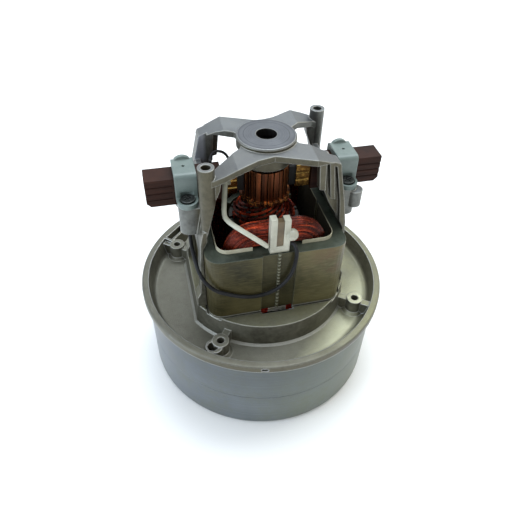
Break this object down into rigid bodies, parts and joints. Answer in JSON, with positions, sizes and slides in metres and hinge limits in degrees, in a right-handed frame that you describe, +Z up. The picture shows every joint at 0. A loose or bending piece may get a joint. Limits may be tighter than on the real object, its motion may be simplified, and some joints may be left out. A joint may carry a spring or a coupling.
{
  "type": "vacuum motor unit",
  "caption": "Upright brush motor in a cast cage on a round sheet-metal fan case with stacked fans, an inlet eye underneath, sprung carbon brushes and drilled bosses in a dished rim.",
  "frame": {"origin": "centre of the fan case's flat base, on the shaft axis", "axes": "+Z up the shaft away from the fan inlet, X along the two brushes, the cut-out clip towards -Y"},
  "size_m": [0.144, 0.144, 0.154],
  "materials": {
    "cast": "as-cast, dull satin with fine grain",
    "shell": "drawn zinc-plated sheet, satin",
    "fan": "rolled sheet, satin",
    "steel": "ground",
    "zinc": "zinc plated",
    "lamination": "stacked sheet edges under thin varnish",
    "enamel": "copper wire under red-brown enamel, glossy",
    "copper": "darkened copper",
    "moulding": "phenolic moulding, satin",
    "insulation": "slot paper",
    "brass": "satin",
    "carbon": "dull carbon",
    "clamp": "pale grey-green moulding, satin",
    "clip": "white moulding",
    "cutout": "tan can, satin",
    "sleeve": "woven glass sleeve",
    "lead": "black insulation, satin"
  },
  "bodies": {
    "motor_frame": {"lower_shell": "shell", "upper_shell": "shell", "guide_plate": "fan", "lower_bracket": "cast", "lower_bearing_outer": "steel", "stator_core": "lamination", "slot_liners": "insulation", "front_coil_core": "enamel", "front_coil_turns": "enamel", "back_coil_core": "enamel", "back_coil_turns": "enamel", "upper_bearing_outer": "steel", "bearing_spring": "steel", "top_bracket": "cast", "frame_screws": "zinc", "right_brush_holder": "moulding", "left_brush_holder": "moulding", "right_brush_tube": "brass", "left_brush_tube": "brass", "right_brush_spring": "steel", "left_brush_spring": "steel", "right_brush_clamp": "clamp", "left_brush_clamp": "clamp", "clamp_screws": "zinc", "cutout_clip": "clip", "thermal_cutout": "cutout", "lead_sleeve": "sleeve", "black_lead": "lead", "brush_lead": "lead"},
    "rotor": {"shaft": "steel", "armature_core": "lamination", "armature_winding": "enamel", "shaft_insulation": "insulation", "commutator_bars": "copper", "commutator_hub": "moulding", "first_stage_fan": "fan", "second_stage_fan": "fan", "fan_spacers": "zinc", "fan_washer": "zinc", "shaft_nut": "zinc", "lower_bearing_inner": "steel", "lower_bearing_balls": "steel", "upper_bearing_inner": "steel", "upper_bearing_balls": "steel"},
    "right_brush": {"right_carbon_brush": "carbon"},
    "left_brush": {"left_carbon_brush": "carbon"}
  },
  "joints": [
    {"name": "rotor_spin", "type": "hinge", "parent": "motor_frame", "child": "rotor", "pos_m": [0, 0, 0.1], "axis": [0, 0, 1], "continuous": true},
    {"name": "right_brush_slide", "type": "slide", "parent": "motor_frame", "child": "right_brush", "axis": [1, 0, 0], "range_m": [0, 0.008], "stiffness_N_per_m": 60, "springref_m": -0.02, "deforming": ["right_brush_spring"]},
    {"name": "left_brush_slide", "type": "slide", "parent": "motor_frame", "child": "left_brush", "axis": [-1, 0, 0], "range_m": [0, 0.008], "stiffness_N_per_m": 60, "springref_m": -0.02, "deforming": ["left_brush_spring"]}
  ]
}
